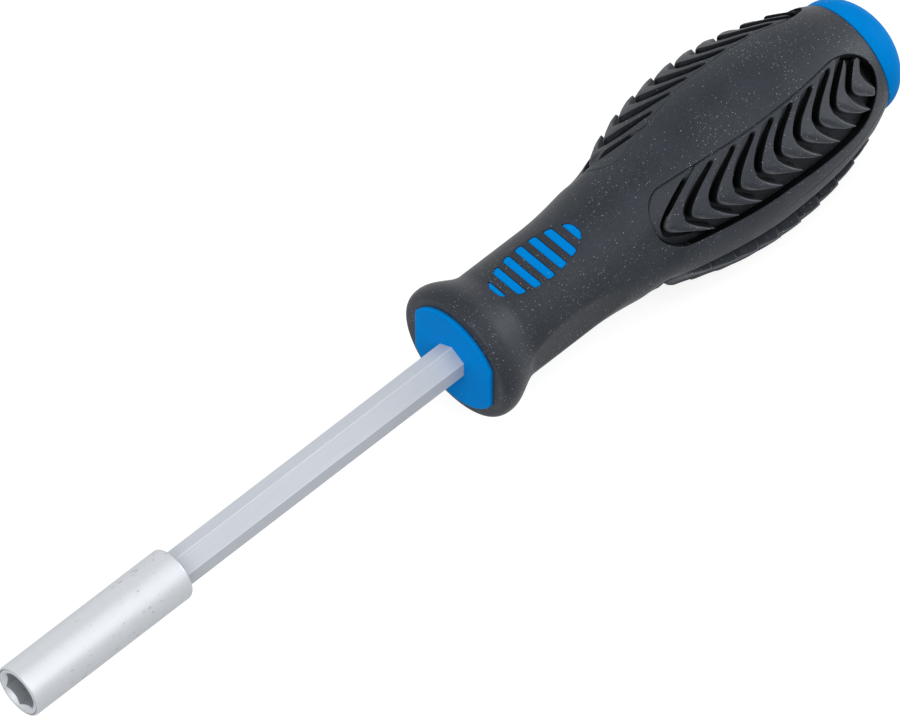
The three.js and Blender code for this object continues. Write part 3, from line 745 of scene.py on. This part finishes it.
def make_grip(material):
    """Soft grip: a closed skin of revolution in four bands, top, sides and bottom, whose edges part
    round the four leaf-shaped pockets. Each pocket's lip rolls in to a wall and a floor."""
    panel = leaf_stations(POCKET_LIP)
    lip = GRIP_FACE + FLANGE_CREST * (1.0 - np.cos(np.linspace(0.0, QUARTER, 16)))
    neck = np.linspace(lip[-1], panel[0], 84)[1:-1]
    rear = np.linspace(panel[-1], TAIL - TAIL_EDGE, 7)[1:]
    skin_rows = np.concatenate([lip, neck, panel, rear])
    upper, lower = leaf_edges(skin_rows, POCKET_LIP)
    away = (skin_rows < panel[0]) | (skin_rows > panel[-1])
    middle = (upper + lower) / 2
    upper = np.where(away, middle, upper)
    lower = np.where(away, middle, lower)
    count = np.linspace(-1.0, 1.0, 41)
    fine = np.linspace(-1.0, 1.0, 37)
    crowded = np.sign(fine) * np.abs(fine) ** 1.8
    core_rows = np.linspace(TAIL, GRIP_FACE, 24)
    core_radius = body_radius(core_rows) - GRIP_WALL - 0.2
    tail_turn = np.linspace(0.0, QUARTER, 5)[1:]
    tail_rows = TAIL - TAIL_EDGE * (1.0 - np.sin(tail_turn))
    closing = np.concatenate([tail_rows, core_rows, [GRIP_FACE]])
    skin = Skin()
    for centre, half, across in (
        (0.0, upper, count),
        (QUARTER, QUARTER - lower, crowded),
        (2 * QUARTER, upper, count),
        (3 * QUARTER, QUARTER - lower, crowded),
    ):
        angle = centre + half[:, None] * across
        outer = around(skin_rows[:, None], grip_radius(skin_rows[:, None], angle), angle)
        last = angle[-1]
        edge = grip_radius(skin_rows[-1:, None], last[None, :])[0]
        tail = [edge - TAIL_EDGE * (1.0 - math.cos(t)) for t in tail_turn]
        inner = [np.full(last.shape, r) for r in core_radius]
        rim = np.full(last.shape, FLANGE_RADIUS - FLANGE_LIP - 0.5)
        radius = np.stack(tail + inner + [rim])
        skin.add(np.concatenate([outer, around(closing[:, None], radius, last)]), loop=True)
    wall_growth = [POCKET_LIP, 0.19, 0.13, 0.08, POCKET_FIT, POCKET_FIT]
    wall_drop = [0.0, 0.012, 0.05, 0.12, 0.28, None]
    # Painted shade growing down each pocket wall.
    wall_painted_shade = np.array([0.0, 0.0, 0.1, 0.5, 1.0, 1.0])[:, None]
    for mirror in ((1, 1, 1), (1, -1, 1), (1, 1, -1), (1, -1, -1)):
        edges = ([], [])
        for growth, drop in zip(wall_growth, wall_drop):
            x = leaf_stations(growth)
            for angle, rows in zip(leaf_edges(x, growth), edges):
                radius = body_radius(x) - POCKET_DEPTH if drop is None else grip_radius(x, angle) - drop
                rows.append(around(x, radius, angle))
        skin.add(np.stack(edges[0]), turned=True, mirror=mirror, painted_shade=wall_painted_shade)
        skin.add(np.stack(edges[1]), mirror=mirror, painted_shade=wall_painted_shade)
        x = leaf_stations(POCKET_FIT)
        left, right = leaf_edges(x, POCKET_FIT)
        angle = mix(left[:, None], right[:, None], np.linspace(0.0, 1.0, 9))
        floor = around(x[:, None], body_radius(x)[:, None] - POCKET_DEPTH, angle)
        # Painted shade over the whole pocket floor.
        skin.add(floor, mirror=mirror, painted_shade=1.0)
    grip = place_object("grip_uncut", skin.mesh("grip_skin"))
    cutter = make_slots()
    cut = grip.modifiers.new("bar slots", "BOOLEAN")
    cut.operation = "DIFFERENCE"
    cut.solver = "EXACT"
    cut.object = cutter
    shapes = bpy.context.evaluated_depsgraph_get()
    slotted = bpy.data.meshes.new_from_object(grip.evaluated_get(shapes))
    slotted.name = "grip_skin_slotted"
    bpy.data.objects.remove(grip)
    bpy.data.objects.remove(cutter)
    make_piece("grip_overmould", slotted, material, "grip_body", 38.0)


def make_panel(material, mirror, node):
    """One rib panel: the lobe, the ribs and the rear pocket's floor as rows along the ribs' own lines,
    held inside the leaf's outline, with a small rounded rim, and closed by a base."""
    share = (1.0 - np.cos(np.linspace(0.0, math.pi, 141))) / 2
    bow = 1.0 - np.sqrt(1.0 - (2.0 * share - 1.0) ** 2)
    start = PANEL_FRONT + PANEL_FRONT_ROUND * bow
    end = PANEL_REAR - PANEL_REAR_ROUND * bow
    lobe_x, lobe_height, lobe_painted_shade = lobe_cell(share, start)
    cells = [(lobe_x, lobe_height, np.zeros_like(lobe_x), lobe_painted_shade)]
    cells += [rib_cell(rib, share) for rib in range(RIB_COUNT)]
    rear = mix(np.minimum(cells[-1][0][-1], end), end, np.linspace(0.1, 1.0, 10)[:, None])
    cells.append((rear, floor_radius(rear), np.zeros_like(rear), np.ones_like(rear)))
    x, height, painted_highlight, painted_shade = (np.concatenate(rows) for rows in zip(*cells))
    height = np.where(x > end - 0.01, floor_radius(np.minimum(x, end)), height)
    upper, lower = panel_edges(start)
    outline = grip_radius(start, mix(upper, lower, share))
    height = np.where(x < start + 0.01, outline - 0.02, height)
    x = np.clip(x, start, end)
    upper, lower = panel_edges(x)
    angle = mix(upper, lower, share)
    body = body_radius(x)
    rim = np.minimum(share, 1.0 - share) * (lower - upper) * body
    rim = np.minimum(rim, np.minimum(x - start, end - x))
    height = height - PANEL_EDGE * (1.0 - ease(rim / 0.3))
    outer = around(x, height, angle)
    skin = Skin()
    # The cells' painted highlight and painted shade go onto the top grid.
    skin.add_slab(outer, around(x, body - PANEL_BASE, angle), mirror=mirror, painted_highlight=painted_highlight, painted_shade=painted_shade)
    make_piece(node.replace("rib_panel", "ribs"), skin, material, node, 34.0)


def make_cap(material):
    """Dome of the rear end: a quarter ellipse behind a short rounded lip, a small nub of the parting
    line at both sides, and the stem that sits in the core."""
    angle = even_turn(192)
    seat = TAIL + CAP_GAP
    lip = seat + CAP_LIP
    stem_end = TAIL - STEM_LENGTH
    profile = [(stem_end, 0.0), (stem_end, STEM_RADIUS - STEM_EDGE), (stem_end + STEM_EDGE, STEM_RADIUS)]
    profile += [(seat - SQUARE_STEP, STEM_RADIUS), (seat, STEM_RADIUS + STEM_EDGE)]
    profile += round_over(seat, TAIL_RADIUS - CAP_EDGE, seat + CAP_EDGE, TAIL_RADIUS, 6, False)
    profile.append((mix(seat + CAP_EDGE, lip, 0.6), TAIL_RADIUS))
    profile += round_over(lip, TAIL_RADIUS, CAP_END, 0.0, 40, True)
    points = turned(profile, angle)
    x, y, z = np.moveaxis(points, -1, 0)
    side = np.exp(-((np.abs(np.sin(angle)) - 1.0) / NUB_SPREAD) ** 2)
    near = np.exp(-((x - seat - NUB_STATION) / NUB_LENGTH) ** 2) * (np.hypot(y, z) > 9.0)
    points[..., 1] += NUB_HEIGHT * np.sign(y) * side * near
    skin = Skin()
    skin.add(points, ring=True)
    make_piece("end_cap_dome", skin, material, "end_cap")


# Finishes

def feed(tree, sockets, values):
    """Gives each named or numbered socket a value or a link."""
    for key, value in values.items():
        if isinstance(value, bpy.types.NodeSocket):
            tree.links.new(value, sockets[key])
        else:
            sockets[key].default_value = value


def put(tree, kind, values=None, **settings):
    """Adds a shader node with its settings and feeds its sockets."""
    made = tree.nodes.new("ShaderNode" + kind)
    for key, value in settings.items():
        setattr(made, key, value)
    feed(tree, made.inputs, values or {})
    return made


def calc(tree, operation, *values):
    """A sum on values and links."""
    return put(tree, "Math", dict(enumerate(values)), operation=operation).outputs[0]


def stretched(tree, vector, factors):
    """A vector with each part multiplied by its own factor."""
    return put(tree, "VectorMath", {0: vector, 1: factors}, operation="MULTIPLY").outputs[0]


def noise(tree, vector, scale, detail, roughness=0.5):
    """Smooth random values from 0 to 1."""
    values = {"Vector": vector, "Scale": scale, "Detail": detail, "Roughness": roughness}
    return put(tree, "TexNoise", values).outputs[0]


def spread(tree, value, low=0.0, high=1.0, start=0.0, end=1.0):
    """A value carried from the range start to end over to the range low to high, and held inside it."""
    return put(tree, "MapRange", {0: value, 1: start, 2: end, 3: low, 4: high}).outputs[0]


def overlay(tree, colour, paint, mask, share=1.0):
    """A colour with a paint over it by a mask times a share; both are a link or red, green and blue."""
    first, second = (c if isinstance(c, bpy.types.NodeSocket) else (*c, 1.0) for c in (colour, paint))
    factor = spread(tree, mask, 0.0, share)
    return put(tree, "Mix", {0: factor, 6: first, 7: second}, data_type="RGBA").outputs[2]


def marked(tree, label):
    """A mark that the mesh carries, from 0 to 1."""
    return put(tree, "Attribute", attribute_name=label).outputs["Fac"]


def new_effect(name, inputs, outputs):
    """An empty node group: inputs gives each number's value, or None for a vector, and outputs names
    the numbers that come out."""
    tree = bpy.data.node_groups.new(name, "ShaderNodeTree")
    for label, value in inputs.items():
        kind = "NodeSocketVector" if value is None else "NodeSocketFloat"
        socket = tree.interface.new_socket(label, in_out="INPUT", socket_type=kind)
        if value is not None:
            socket.default_value = value
    for label in outputs:
        tree.interface.new_socket(label, in_out="OUTPUT", socket_type="NodeSocketFloat")
    return tree, tree.nodes.new("NodeGroupInput").outputs, tree.nodes.new("NodeGroupOutput").inputs


def moulded_grain():
    """Fine pebbled texture of moulded skin: two noises, the finer at 2.7 times the scale, added as a
    height, and a slow noise with a quick mottle as a tone."""
    inputs = {"Vector": None, "Scale": 4000.0}
    tree, given, result = new_effect("moulded grain", inputs, ["Height", "Tone"])
    vector = given["Vector"]
    coarse = noise(tree, vector, given["Scale"], 1.0)
    fine = noise(tree, vector, calc(tree, "MULTIPLY", given["Scale"], 2.7), 0.0)
    height = calc(tree, "ADD", coarse, calc(tree, "MULTIPLY", fine, 0.45))
    tone = calc(tree, "ADD", noise(tree, vector, 140.0, 3.0), noise(tree, vector, 2600.0, 2.0))
    feed(tree, result, {"Height": height, "Tone": spread(tree, tone, start=0.75, end=1.25)})
    return tree


def dust_specks():
    """Pale specks: in a share of the cells of a cell pattern, more in some patches than in others, a
    small spot round the cell's point, of a size that differs from cell to cell."""
    inputs = {"Vector": None, "Scale": 900.0, "Share": 0.2}
    tree, given, result = new_effect("dust specks", inputs, ["Mask"])
    cells = put(tree, "TexVoronoi", {"Vector": given["Vector"], "Scale": given["Scale"]}).outputs
    chance = put(tree, "SeparateColor", {0: cells["Color"]}).outputs
    dusty = spread(tree, noise(tree, given["Vector"], 110.0, 2.0), 0.3, 2.0, 0.38, 0.66)
    chosen = calc(tree, "LESS_THAN", chance[0], calc(tree, "MULTIPLY", dusty, given["Share"]))
    size = spread(tree, chance[1], 0.07, 0.2)
    spot = spread(tree, cells["Distance"], start=size, end=calc(tree, "MULTIPLY", size, 0.5))
    feed(tree, result, {"Mask": calc(tree, "MULTIPLY", chosen, spot)})
    return tree


def tool_marks():
    """Fine lines left by working the metal: noise on coordinates stretched by the Stretch vector, and
    a second, broken noise, drawn out along the axis, that marks scuffs where it passes a limit inside
    the patches of a slow haze."""
    inputs = {"Vector": None, "Stretch": None, "Scuff Scale": 300.0, "Scuff Limit": 0.68}
    tree, given, result = new_effect("tool marks", inputs, ["Lines", "Scuffs", "Haze"])
    lines = noise(tree, stretched(tree, given["Vector"], given["Stretch"]), 1.0, 3.0)
    drawn = stretched(tree, given["Vector"], (0.4, 1.0, 1.0))
    broken = noise(tree, drawn, given["Scuff Scale"], 6.0, 0.62)
    full = calc(tree, "ADD", given["Scuff Limit"], 0.07)
    scuffs = spread(tree, broken, start=given["Scuff Limit"], end=full)
    haze = noise(tree, given["Vector"], 90.0, 2.0)
    worn = calc(tree, "MULTIPLY", scuffs, spread(tree, haze, start=0.46, end=0.58))
    feed(tree, result, {"Lines": lines, "Scuffs": worn, "Haze": haze})
    return tree


GRAIN = moulded_grain()
DUST = dust_specks()
MARKS = tool_marks()


def new_finish(name):
    """A material with its shader's inputs and the Object coordinates."""
    material = bpy.data.materials.new(name)
    material.use_nodes = True
    tree = material.node_tree
    shader = tree.nodes["Principled BSDF"].inputs
    return material, tree, shader, put(tree, "TexCoord").outputs["Object"]


def effect(tree, group, place, **values):
    """Places a shared effect in a material with that material's own values."""
    made = put(tree, "Group", node_tree=group)
    values = {label.replace("_", " "): value for label, value in values.items()}
    feed(tree, made.inputs, {"Vector": place, **values})
    return made.outputs


def bumped(tree, height, strength, distance):
    """The surface's direction, tilted by a height."""
    return put(tree, "Bump", {"Height": height, "Strength": strength, "Distance": distance}).outputs[0]


def soft_black(name, dark, pale, dust_share, sheen):
    """Black elastomer: two greyed blacks by a mottled tone, pale dust and powder, fine grain as a bump,
    a painted highlight that makes edges a little lighter, and painted shade in the recesses: a near
    black colour over the dust, and a metallic black that leaves next to nothing to mirror."""
    material, tree, shader, place = new_finish(name)
    grain = effect(tree, GRAIN, place, Scale=5200.0)
    powder = effect(tree, DUST, place, Scale=4000.0, Share=0.7)
    dust = effect(tree, DUST, place, Scale=2500.0, Share=dust_share)
    painted_shade = marked(tree, "painted_shade")
    colour = overlay(tree, dark, pale, grain["Tone"])
    # Painted highlight on the edges.
    colour = overlay(tree, colour, (0.16, 0.165, 0.175), marked(tree, "painted_edge_highlight"), 0.7)
    colour = overlay(tree, colour, (0.4, 0.41, 0.43), powder["Mask"], 0.6)
    colour = overlay(tree, colour, (0.7, 0.71, 0.73), dust["Mask"], 0.9)
    # Painted shade in the recesses: a near black colour, and below, Metallic turned up there so that next     to nothing is mirrored.
    colour = overlay(tree, colour, (0.004, 0.0045, 0.005), painted_shade)
    look = {
        "Base Color": colour,
        "Metallic": spread(tree, painted_shade, 0.0, 0.9),
        "Roughness": spread(tree, grain["Tone"], 0.46, 0.56),
        "Specular IOR Level": 0.39,
        "Specular Tint": (0.84, 0.92, 1.0, 1.0),
        "Sheen Weight": sheen,
        "Sheen Roughness": 0.3,
        "Normal": bumped(tree, grain["Height"], 0.35, 0.00006),
    }
    feed(tree, shader, look)
    return material


def blue_plastic():
    """Smooth moulded blue: two close blues by a slow tone, a faint orange-peel bump, few specks."""
    material, tree, shader, place = new_finish("moulded blue")
    grain = effect(tree, GRAIN, place, Scale=1500.0)
    dust = effect(tree, DUST, place, Scale=800.0, Share=0.07)
    colour = overlay(tree, (0.0, 0.2, 0.6), (0.0, 0.225, 0.66), grain["Tone"])
    colour = overlay(tree, colour, (0.35, 0.5, 0.62), dust["Mask"], 0.35)
    look = {
        "Base Color": colour,
        "Roughness": spread(tree, grain["Tone"], 0.38, 0.48),
        "Specular IOR Level": 0.01,
        "Normal": bumped(tree, grain["Height"], 0.12, 0.00004),
    }
    feed(tree, shader, look)
    return material


def plated_steel(name, bright, dull, scuffed, stretch, rough, scuff_limit, metallic):
    """Matt plated steel: bright and duller tones by its tool marks, darker scuffs, a painted highlight
    on the corners, painted shade in the recesses and a hazy sheen."""
    material, tree, shader, place = new_finish(name)
    marks = effect(tree, MARKS, place, Stretch=stretch, Scuff_Scale=1300.0, Scuff_Limit=scuff_limit)
    colour = overlay(tree, dull, bright, marks["Lines"])
    colour = overlay(tree, colour, scuffed, marks["Scuffs"], 0.55)
    # Painted highlight on the corners.
    colour = overlay(tree, colour, (0.86, 0.88, 0.9), marked(tree, "painted_edge_highlight"), 0.5)
    # Painted shade in the hollows that the mesh marks.
    colour = overlay(tree, colour, (0.08, 0.085, 0.095), marked(tree, "painted_shade"), 0.85)
    look = {
        "Base Color": colour,
        "Metallic": metallic,
        "Roughness": spread(tree, marks["Haze"], rough - 0.06, rough + 0.08),
        "Normal": bumped(tree, marks["Lines"], 0.15, 0.00003),
    }
    feed(tree, shader, look)
    return material


def seen_rays(tree):
    """Masks of the rays that come from the camera, and of these with the mirrored ones."""
    path = put(tree, "LightPath").outputs
    return path["Is Camera Ray"], calc(tree, "MAXIMUM", path["Is Camera Ray"], path["Is Glossy Ray"])


def studio_floor():
    """Pale matt floor that shows the camera and glossy rays a little added white, and keeps shadows."""
    material = bpy.data.materials.new("studio floor")
    material.use_nodes = True
    tree = material.node_tree
    tree.nodes.remove(tree.nodes["Principled BSDF"])
    camera, seen = seen_rays(tree)
    strength = calc(tree, "MULTIPLY_ADD", camera, 0.34, calc(tree, "MULTIPLY", seen, 0.42))
    matt = put(tree, "BsdfDiffuse", {"Color": (0.4, 0.4, 0.4, 1.0)})
    white = put(tree, "Emission", {"Strength": strength})
    both = put(tree, "AddShader", {0: matt.outputs[0], 1: white.outputs[0]})
    feed(tree, tree.nodes["Material Output"].inputs, {"Surface": both.outputs[0]})
    return material


# Studio

def make_floor():
    """A flat floor just under the belly of the handle."""
    edge = np.array([-FLOOR_HALF, FLOOR_HALF])
    x, y = np.meshgrid(edge, edge, indexing="ij")
    skin = Skin()
    skin.add(np.stack([x, y, np.full((2, 2), -BELLY_RADIUS - 0.05)], axis=-1))
    floor = place_object("floor", skin.mesh("floor"))
    floor.data.materials.append(studio_floor())


def make_lamp(name, place, aim, width, height, power):
    """A soft rectangular lamp turned towards a point."""
    lamp = bpy.data.lights.new(name, "AREA")
    lamp.shape = "RECTANGLE"
    lamp.size = width
    lamp.size_y = height
    lamp.energy = power
    holder = place_object(name, lamp)
    holder.location = place
    holder.rotation_euler = (Vector(aim) - Vector(place)).to_track_quat("-Z", "Y").to_euler()
    return holder


def make_world():
    """Soft even light, and plain white for what the camera and shiny surfaces see."""
    world = bpy.data.worlds.new("studio")
    bpy.context.scene.world = world
    world.use_nodes = True
    tree = world.node_tree
    strength = spread(tree, seen_rays(tree)[1], 0.42, 1.0)
    light = {"Color": (1.0, 1.0, 1.0, 1.0), "Strength": strength}
    feed(tree, tree.nodes["Background"].inputs, light)


def make_camera():
    """Long lens at the photograph's angle, left of the tool's side and up."""
    flat = math.cos(CAMERA_HEIGHT)
    back = Vector((math.sin(CAMERA_TURN) * flat, -math.cos(CAMERA_TURN) * flat, math.sin(CAMERA_HEIGHT)))
    camera = bpy.data.cameras.new("camera")
    camera.sensor_width = 36.0
    camera.lens = 516.96
    holder = place_object("camera", camera)
    holder.location = Vector(CAMERA_AIM) + back * CAMERA_DISTANCE
    holder.rotation_euler = (-back).to_track_quat("-Z", "Y").to_euler()
    bpy.context.scene.camera = holder


grip_black = soft_black("grip black", (0.005, 0.007, 0.011), (0.017, 0.02, 0.027), 0.5, 0.12)
rib_black = soft_black("rib black", (0.008, 0.01, 0.0135), (0.022, 0.025, 0.032), 0.38, 0.06)
moulded_blue = blue_plastic()
sleeve_steel = plated_steel(
    "sleeve steel",
    bright=(0.62, 0.645, 0.68),
    dull=(0.55, 0.575, 0.61),
    scuffed=(0.16, 0.17, 0.19),
    stretch=(9000.0, 300.0, 300.0),
    rough=0.4,
    scuff_limit=0.6,
    metallic=0.5,
)
blade_steel = plated_steel(
    "blade steel",
    bright=(0.57, 0.605, 0.66),
    dull=(0.48, 0.51, 0.56),
    scuffed=(0.28, 0.29, 0.31),
    stretch=(90.0, 5200.0, 5200.0),
    rough=0.55,
    scuff_limit=0.68,
    metallic=0.1,
)
magnet_plate = plated_steel(
    "magnet plate",
    bright=(0.4, 0.4, 0.41),
    dull=(0.28, 0.28, 0.29),
    scuffed=(0.16, 0.16, 0.16),
    stretch=(900.0, 900.0, 900.0),
    rough=0.42,
    scuff_limit=0.62,
    metallic=1.0,
)

make_sleeve(sleeve_steel)
make_magnet(magnet_plate)
make_blade(blade_steel)
make_core(moulded_blue)
make_bars(moulded_blue, (1, 1, 1), "neck_bars_top")
make_bars(moulded_blue, (1, 1, -1), "neck_bars_bottom")
make_grip(grip_black)
make_panel(rib_black, (1, 1, 1), "rib_panel_upper_right")
make_panel(rib_black, (1, -1, 1), "rib_panel_upper_left")
make_panel(rib_black, (1, 1, -1), "rib_panel_lower_right")
make_panel(rib_black, (1, -1, -1), "rib_panel_lower_left")
make_cap(moulded_blue)

make_floor()
make_lamp("key lamp", (0.15, -0.98, 0.9), (0.09, 0.0, 0.0), 1.2, 0.8, 3.8)
make_lamp("top lamp", (0.25, -0.25, 1.2), (0.12, 0.0, 0.0), 1.0, 1.0, 3.0)
rear_lamp = make_lamp("rear lamp", (0.0, 1.25, 0.42), (0.12, 0.0, 0.0), 1.6, 0.6, 7.5)
rear_lamp.visible_glossy = False
make_lamp("front lamp", (-1.05, -0.25, 0.65), (0.09, 0.0, 0.0), 0.8, 0.8, 7.5)
make_lamp("tail lamp", (1.25, -0.3, 0.35), (0.17, 0.0, 0.0), 0.6, 0.6, 5.5)
make_world()
make_camera()
bpy.context.scene.view_settings.view_transform = "Standard"
